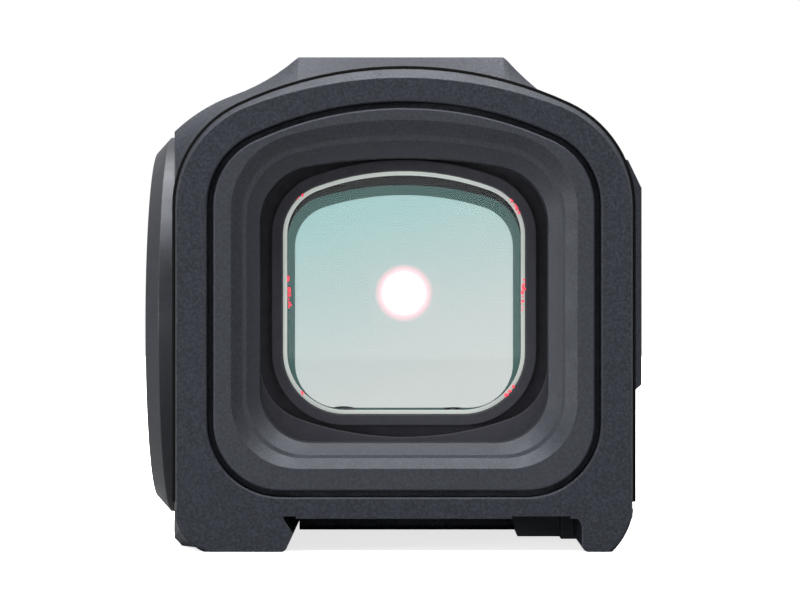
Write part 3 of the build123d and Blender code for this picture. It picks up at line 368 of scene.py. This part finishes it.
def rear_glass():
    """Clear window, frosted where its edge is ground, and given a painted glow there."""
    g = Graph("rear_glass")
    g.colour(g.mix(g.noise(0.12, 2.0), (0.90, 0.955, 0.95), (0.94, 0.97, 0.965)))
    g.set(Transmission_Weight=1.0, IOR=1.18, Specular_IOR_Level=0.5)
    g.roughness(0.0, 0.03, g.noise(0.6))
    frost_glow = g.tree.nodes.new("ShaderNodeBsdfPrincipled")
    fine = g.noise(14.0, 4.0, 0.8)
    tone = g.noise(0.35, 2.0)
    frost_and_glow_colour = g.mix(fine, (0.50, 0.56, 0.54), (0.80, 0.85, 0.83))
    frost_and_glow_colour = g.mix(tone, frost_and_glow_colour, (0.72, 0.76, 0.70))
    g.link(frost_and_glow_colour, frost_glow.inputs["Base Color"])
    frost_glow.inputs["Roughness"].default_value = 0.75
    # Painted glow: the ground edge gives off light of its own.
    g.link(frost_and_glow_colour, frost_glow.inputs["Emission Color"])
    frost_glow.inputs["Emission Strength"].default_value = 0.42
    g.link(g.bump(fine, 0.5, 0.02 * MM), frost_glow.inputs["Normal"])
    geometry = g.tree.nodes.new("ShaderNodeNewGeometry")
    across = g.split(geometry.outputs["True Normal"])["Y"]
    flat = g.math("GREATER_THAN", g.math("ABSOLUTE", across), 0.9)
    g.show(flat, frost_glow, g.bsdf)
    return g.mat


def front_glass():
    """Mirror-coated element: teal at the top left, fading to pale grey at the foot."""
    g = Graph("front_glass")
    place = g.split(g.coord)
    low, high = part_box("front_lens_inner")
    rise = g.math("DIVIDE", g.math("SUBTRACT", place["Z"], low.z), high.z - low.z)
    across = g.math("DIVIDE", g.math("SUBTRACT", place["X"], low.x), high.x - low.x)
    slanted = g.math("SUBTRACT", rise, g.math("MULTIPLY", across, 0.28))
    slanted = g.math("ADD", slanted, g.math("MULTIPLY", g.noise(0.10, 1.0), 0.12))
    tint = g.ramp(slanted, [(0.0, (0.69, 0.63, 0.63)), (0.28, (0.62, 0.60, 0.60)), (0.55, (0.50, 0.56, 0.56)),
                            (0.80, (0.40, 0.545, 0.54)), (1.0, (0.36, 0.53, 0.525))])
    # Painted glow: the element gives off a faint teal light of its own.
    g.bsdf.inputs["Emission Color"].default_value = (0.21, 0.42, 0.40, 1)
    g.set(Emission_Strength=0.15)
    g.colour(tint)
    g.set(Transmission_Weight=1.0, IOR=1.12, Specular_IOR_Level=0.5)
    g.roughness(0.0, 0.02, g.noise(0.5))
    return g.mat


def outer_glass():
    """Outer element, nearly clear, with a hard coat."""
    g = Graph("outer_glass")
    g.colour(g.mix(g.noise(0.1, 1.0), (0.93, 0.955, 0.95), (0.955, 0.965, 0.96)))
    g.set(Transmission_Weight=1.0, IOR=1.16, Coat_Weight=0.35, Coat_Roughness=0.02, Coat_IOR=1.7)
    g.roughness(0.0, 0.02, g.noise(0.5))
    return g.mat


def emitter():
    """Lit red lens of the emitter."""
    g = Graph("emitter_red")
    g.colour(g.mix(g.noise(3.0), (0.55, 0.03, 0.02), (0.85, 0.09, 0.05)))
    g.set(Emission_Strength=1.5, Coat_Weight=0.6)
    g.bsdf.inputs["Emission Color"].default_value = (1.0, 0.12, 0.06, 1)
    g.roughness(0.1, 0.25, g.noise(2.0))
    return g.mat


def red_glint():
    """Flakes of deep red light, a little uneven."""
    g = Graph("red_glint")
    tone = g.mix(g.noise(6.0), (0.70, 0.015, 0.04), (0.95, 0.06, 0.10))
    g.colour(tone)
    g.link(tone, g.bsdf.inputs["Emission Color"])
    g.set(Emission_Strength=0.75)
    g.roughness(0.2, 0.4, g.noise(3.0))
    return g.mat


def cap_centre():
    low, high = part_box("battery_cap")
    return (low + high) / 2


MATERIALS = {
    "anodised_body": anodised("anodised_body"),
    # The bezel gets a painted highlight on the slope into its window (inside=True).
    "anodised_bezel": anodised("anodised_bezel", (0.0068, 0.0076, 0.0102), (0.0135, 0.0146, 0.0190),
                               grain=0.7, rough=(0.40, 0.52), edge=0.07, inside=True, gloss=0.42),
    "anodised_cap": anodised("anodised_cap", (0.014, 0.0142, 0.0150), (0.024, 0.0242, 0.0252),
                             grain=0.30, rough=(0.34, 0.46), edge=0.12, rings=(cap_centre(), 9.0)),
    "anodised_jaw": anodised("anodised_jaw", (0.014, 0.015, 0.019), (0.026, 0.028, 0.035),
                             grain=0.40, rough=(0.44, 0.58), edge=0.11),
    "frame_black": frame_black(),
    "rear_glass": rear_glass(),
    "front_glass": front_glass(),
    "outer_glass": outer_glass(),
    "seal_rubber": rubber("seal_rubber", (0.003, 0.003, 0.0032), (0.007, 0.007, 0.007),
                          sheen=0.0, gloss=0.05),
    "key_rubber": rubber("key_rubber", (0.020, 0.0205, 0.022), (0.034, 0.0345, 0.036)),
    "cell_steel": metal("cell_steel", (0.66, 0.66, 0.64), (0.24, 0.36), (6.0, 0.4, 6.0)),
    "inner_plastic": plastic("inner_plastic", (0.022, 0.022, 0.023), (0.038, 0.038, 0.039)),
    "spring_steel": metal("spring_steel", (0.58, 0.57, 0.55), (0.18, 0.30)),
    "pin_steel": metal("pin_steel", (0.62, 0.62, 0.61), (0.15, 0.25)),
    "contact_gold": metal("contact_gold", (0.83, 0.62, 0.26), (0.2, 0.32)),
    "nut_brass": metal("nut_brass", (0.72, 0.55, 0.25), (0.25, 0.4)),
    "screw_black": black_oxide(),
    "carriage_metal": anodised("carriage_metal", (0.022, 0.022, 0.024), (0.034, 0.034, 0.036), edge_wear_and_highlight=0.6),
    "board_green": solder_mask(),
    "board_part": plastic("board_part", (0.016, 0.016, 0.017), (0.030, 0.030, 0.031), (0.3, 0.5)),
    "insulator": plastic("insulator", (0.62, 0.55, 0.34), (0.74, 0.68, 0.45), (0.35, 0.5)),
    "flex": polyimide(),
    "emitter_red": emitter(),
}

GLINT = red_glint()

for part in frame["record"]["subparts"]:
    mesh = NODES[part["node"]].data
    mesh.materials.clear()
    mesh.materials.append(MATERIALS[part["material_slot"]])


# ---------------------------------------------------------------- the dot and its glints
def link_mesh(name, bm, material, body, smooth=True):
    """Makes a piece of the looks from a finished mesh and lets it ride on a body."""
    mesh = bpy.data.meshes.new(name)
    bm.normal_update()
    bm.to_mesh(mesh)
    bm.free()
    for face in mesh.polygons:
        face.use_smooth = smooth
    piece = bpy.data.objects.new(name, mesh)
    scene.collection.objects.link(piece)
    mesh.materials.append(material)
    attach(piece, body)
    return piece


def dot_material(centre, core, halo):
    """White-hot middle, pink ring, speckled halo that fades out; seen from behind the sight only."""
    g = Graph("dot_light")
    distance = g.length(g.stretch((1, 0, 1), (-centre.x, 0, -centre.z)))
    speckle = g.noise(9.0, 3.0, 0.8)
    radius = g.math("ADD", g.math("DIVIDE", distance, halo),
                    g.math("MULTIPLY", g.math("SUBTRACT", speckle, 0.5), 0.10))
    edge = core / halo
    colour = g.ramp(radius, [(0.0, (1.0, 1.0, 1.0)), (edge * 0.92, (1.0, 0.97, 0.97)),
                             (edge * 1.08, (1.0, 0.62, 0.66)), (0.85, (0.95, 0.50, 0.56)),
                             (1.0, (0.85, 0.55, 0.60))])
    cover = g.ramp(radius, [(0.0, (1, 1, 1)), (edge, (1, 1, 1)), (edge * 1.10, (0.80, 0.80, 0.80)),
                            (0.84, (0.45, 0.45, 0.45)), (1.0, (0, 0, 0))])
    glow = g.tree.nodes.new("ShaderNodeEmission")
    g.link(colour, glow.inputs["Color"])
    glow.inputs["Strength"].default_value = 1.6
    clear = g.tree.nodes.new("ShaderNodeBsdfTransparent")
    geometry = g.tree.nodes.new("ShaderNodeNewGeometry")
    seen = g.math("LESS_THAN", g.split(geometry.outputs["Normal"])["Y"], 0.0)
    g.show(g.math("MULTIPLY", seen, cover), clear, glow)
    g.tree.nodes.remove(g.bsdf)
    return g.mat


def ring_point(centre, radius, angle):
    return centre + Vector((radius * math.cos(angle), 0, radius * math.sin(angle)))


def face_the_eye(bm):
    """Turns every face of a flat mesh towards the rear."""
    bm.normal_update()
    bmesh.ops.reverse_faces(bm, faces=[face for face in bm.faces if face.normal.y > 0])


def add_dot():
    """The emitter's reflection, as a thin disc just behind the coated element."""
    lens_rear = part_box("front_lens_inner")[0].y
    centre = Vector((0.0, lens_rear - GAP_BEHIND_LENS * MM, AXIS_Z))
    core, halo = DOT_CORE * MM, DOT_HALO * MM
    bm = bmesh.new()
    rings, steps = 8, 72
    middle = bm.verts.new(centre)
    last = None
    for ring in range(1, rings + 1):
        radius = halo * ring / rings
        loop = [bm.verts.new(ring_point(centre, radius, math.tau * i / steps)) for i in range(steps)]
        for i in range(steps):
            j = (i + 1) % steps
            if last is None:
                bm.faces.new((middle, loop[i], loop[j]))
            else:
                bm.faces.new((last[i], loop[i], loop[j], last[j]))
        last = loop
    bmesh.ops.recalc_face_normals(bm, faces=bm.faces)
    face_the_eye(bm)
    link_mesh("aiming_dot", bm, dot_material(centre, core, halo), "housing")


def flecks(name, spots, seed):
    """Loose clusters of tiny flat flakes of red light caught on the window's edge.

    Each spot is its place right of and above the axis, its reach both ways and its number of flakes.
    """
    chance = random.Random(seed)
    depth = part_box("rear_lens")[0].y - 0.02 * MM
    bm = bmesh.new()
    for x, up, reach_x, reach_up, count in spots:
        for _ in range(count):
            centre = Vector(((x + reach_x * chance.uniform(-1, 1)) * MM,
                             depth - chance.uniform(0, 0.02) * MM,
                             AXIS_Z + (up + reach_up * chance.uniform(-1, 1)) * MM))
            size = chance.uniform(*FLECK_SIZES) * MM
            turn = chance.uniform(0, math.tau)
            sides = chance.choice((4, 5, 6))
            corners = []
            for i in range(sides):
                angle = turn - math.tau * i / sides
                far = size * chance.uniform(0.55, 1.0)
                corners.append(bm.verts.new(ring_point(centre, far, angle)))
            bm.faces.new(corners)
    face_the_eye(bm)
    link_mesh(name, bm, GLINT, "housing", smooth=False)


def add_glints():
    upper = [
        (-6.85, 6.15, 0.10, 0.10, 5),
        (-6.6, 6.35, 0.10, 0.08, 5),
        (6.95, 6.0, 0.08, 0.12, 6),
        (7.2, 5.6, 0.09, 0.18, 8),
        (7.4, 5.25, 0.05, 0.08, 3),
    ]
    sides = [
        (-7.45, 0.75, 0.06, 0.35, 8),
        (-7.4, 0.0, 0.08, 0.5, 10),
        (-7.35, -0.8, 0.05, 0.3, 5),
        (7.72, 0.6, 0.06, 0.35, 8),
        (7.68, -0.1, 0.07, 0.5, 9),
        (7.62, -0.9, 0.04, 0.3, 4),
    ]
    lower = [
        (-6.5, -6.4, 0.09, 0.10, 5),
        (6.85, -6.35, 0.12, 0.10, 6),
        (7.1, -6.05, 0.08, 0.10, 5),
        (6.6, -6.6, 0.10, 0.06, 4),
    ]
    flecks("glints_upper", upper, 3)
    flecks("glints_sides", sides, 5)
    flecks("glints_lower", lower, 7)


def baffle_screw(name, x, half_width, height):
    """Head of a screw that holds the baffle, just showing over the foot of the window."""
    lens_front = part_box("rear_lens")[1].y
    behind, below_axis, half_length = 0.55, 7.58, 0.30
    bm = bmesh.new()
    bmesh.ops.create_uvsphere(bm, u_segments=32, v_segments=16, radius=1.0)
    bmesh.ops.scale(bm, vec=(half_width * MM, half_length * MM, height * MM), verts=bm.verts)
    place = (x * MM, lens_front + behind * MM, AXIS_Z - below_axis * MM)
    bmesh.ops.translate(bm, vec=place, verts=bm.verts)
    link_mesh(name, bm, MATERIALS["screw_black"], "housing")


add_dot()
add_glints()
baffle_screw("baffle_screw_left", -3.93, 0.82, 0.24)
baffle_screw("baffle_screw_right", 3.18, 0.50, 0.18)


# ---------------------------------------------------------------- camera and light
def add_camera():
    data = bpy.data.cameras.new("camera")
    camera = bpy.data.objects.new("camera", data)
    scene.collection.objects.link(camera)
    camera.location = (0.0, REAR_Y - EYE_DISTANCE, AXIS_Z)
    camera.rotation_euler = (math.radians(90), 0, 0)
    data.sensor_width = 36.0
    data.lens = LENS_LENGTH
    data.shift_x, data.shift_y = LENS_SHIFT
    data.clip_start = 0.01
    data.clip_end = 20.0
    scene.camera = camera


def area_light(name, place, target, size, power, tint=(1, 1, 1)):
    data = bpy.data.lights.new(name, "AREA")
    data.shape = "RECTANGLE"
    data.size, data.size_y = size
    data.energy = power
    data.color = tint
    lamp = bpy.data.objects.new(name, data)
    scene.collection.objects.link(lamp)
    lamp.location = place
    lamp.rotation_euler = (Vector(target) - Vector(place)).to_track_quat("-Z", "Y").to_euler()
    lamp.visible_camera = False


def add_light():
    """White surroundings, plain white where they are seen and dimmer where they only light the part."""
    world = bpy.data.worlds.new("studio")
    world.use_nodes = True
    tree = world.node_tree
    back = tree.nodes["Background"]
    back.inputs["Color"].default_value = (1.0, 1.0, 1.0, 1)
    path = tree.nodes.new("ShaderNodeLightPath")
    direct = tree.nodes.new("ShaderNodeMath")
    direct.operation = "MAXIMUM"
    tree.links.new(path.outputs["Is Camera Ray"], direct.inputs[0])
    tree.links.new(path.outputs["Is Transmission Ray"], direct.inputs[1])
    level = tree.nodes.new("ShaderNodeMapRange")
    level.inputs["To Min"].default_value = WORLD_LIGHT
    level.inputs["To Max"].default_value = WORLD_SEEN
    tree.links.new(direct.outputs[0], level.inputs["Value"])
    tree.links.new(level.outputs[0], back.inputs["Strength"])
    scene.world = world
    area_light("overhead", (0.0, -0.05, 0.60), (0, 0.0, 0), (0.9, 0.7), OVERHEAD_POWER)
    fill_height = 0.012
    area_light("front_fill", (0.0, REAR_Y - 0.70, fill_height), (0, 0, fill_height), (0.7, 0.22),
               FRONT_FILL_POWER, (0.97, 0.98, 1.0))
    area_light("left_fill", (-0.55, -0.30, FLOOR_Z + 0.03), (-0.015, 0, 0.006), (0.25, 0.12), LEFT_FILL_POWER)


def add_floor():
    """Pale round floor, brightened where it is seen so that no horizon shows behind the part."""
    bm = bmesh.new()
    steps = 96
    middle = Vector((0, 0, FLOOR_Z))
    turn = math.tau / steps
    rim = [bm.verts.new(middle + FLOOR_RADIUS * Vector((math.cos(turn * i), math.sin(turn * i), 0)))
           for i in range(steps)]
    bm.faces.new(rim)
    mesh = bpy.data.meshes.new("floor")
    bm.to_mesh(mesh)
    bm.free()
    floor = bpy.data.objects.new("floor", mesh)
    scene.collection.objects.link(floor)
    g = Graph("floor")
    path = g.tree.nodes.new("ShaderNodeLightPath")
    paper = g.mix(g.noise(0.02), (0.235, 0.235, 0.235), (0.25, 0.25, 0.25))
    g.colour(g.mix(path.outputs["Is Camera Ray"], paper, (0.90, 0.90, 0.90)))
    g.set(Roughness=0.9, Specular_IOR_Level=0.1)
    g.bsdf.inputs["Emission Color"].default_value = (1.0, 1.0, 1.0, 1)
    g.link(g.math("MULTIPLY", path.outputs["Is Camera Ray"], 0.75), g.bsdf.inputs["Emission Strength"])
    lit = g.tree.nodes.new("ShaderNodeEmission")
    g.show(path.outputs["Is Transmission Ray"], g.bsdf, lit)
    mesh.materials.append(g.mat)


add_camera()
add_light()
add_floor()
scene.view_settings.view_transform = "Standard"
